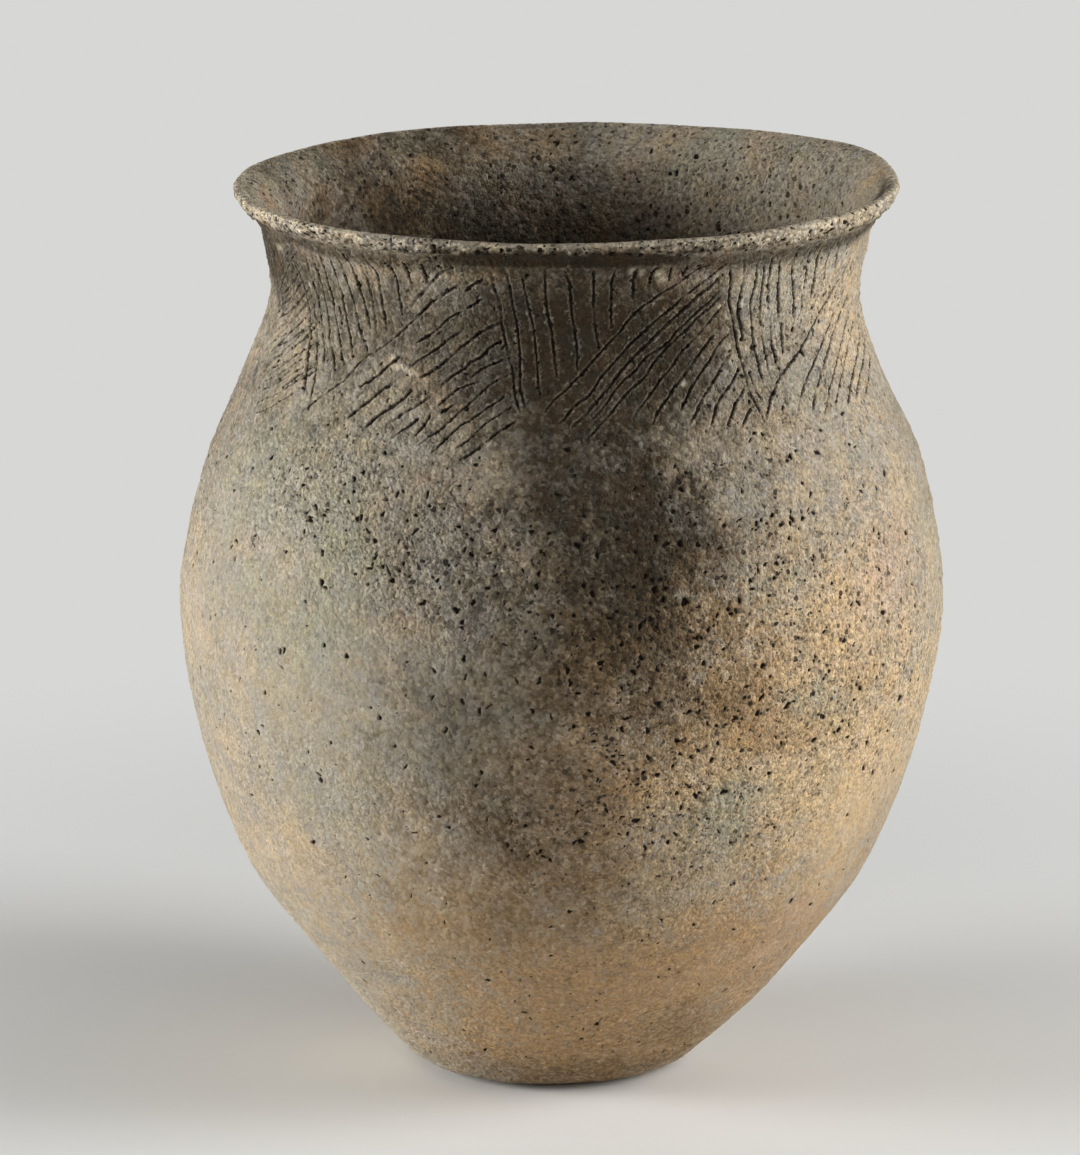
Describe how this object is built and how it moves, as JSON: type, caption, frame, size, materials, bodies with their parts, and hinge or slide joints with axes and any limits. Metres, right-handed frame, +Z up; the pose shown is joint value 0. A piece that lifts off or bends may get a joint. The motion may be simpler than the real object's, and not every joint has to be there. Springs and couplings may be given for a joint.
{
  "type": "pottery jar",
  "caption": "Round coil-built pottery jar on a small flat foot, with a full belly, a drawn-in neck with incised strokes and a flared lip.",
  "frame": {"origin": "centre of the small flat foot that the jar stands on", "axes": "+Z up through the mouth, +X towards the side where the rim rises, -Y towards the side that the picture shows"},
  "size_m": [0.2539, 0.2538, 0.3021],
  "materials": {
    "base_clay": "matte fired earthenware, buff-brown",
    "wall_clay": "matte fired earthenware, taupe with buff and smoky patches",
    "neck_clay": "matte fired earthenware, smoky grey-brown, incised",
    "lip_clay": "matte fired earthenware, pale and worn"
  },
  "bodies": {
    "root": {"base_disc": "base_clay", "wall_coil_1": "wall_clay", "wall_coil_2": "wall_clay", "wall_coil_3": "wall_clay", "wall_coil_4": "wall_clay", "wall_coil_5": "wall_clay", "wall_coil_6": "wall_clay", "wall_coil_7": "wall_clay", "wall_coil_8": "wall_clay", "wall_coil_9": "wall_clay", "wall_coil_10": "wall_clay", "wall_coil_11": "wall_clay", "wall_coil_12": "wall_clay", "neck_coil_1": "neck_clay", "neck_coil_2": "neck_clay", "neck_coil_3": "neck_clay", "lip_coil": "lip_clay"}
  },
  "joints": []
}
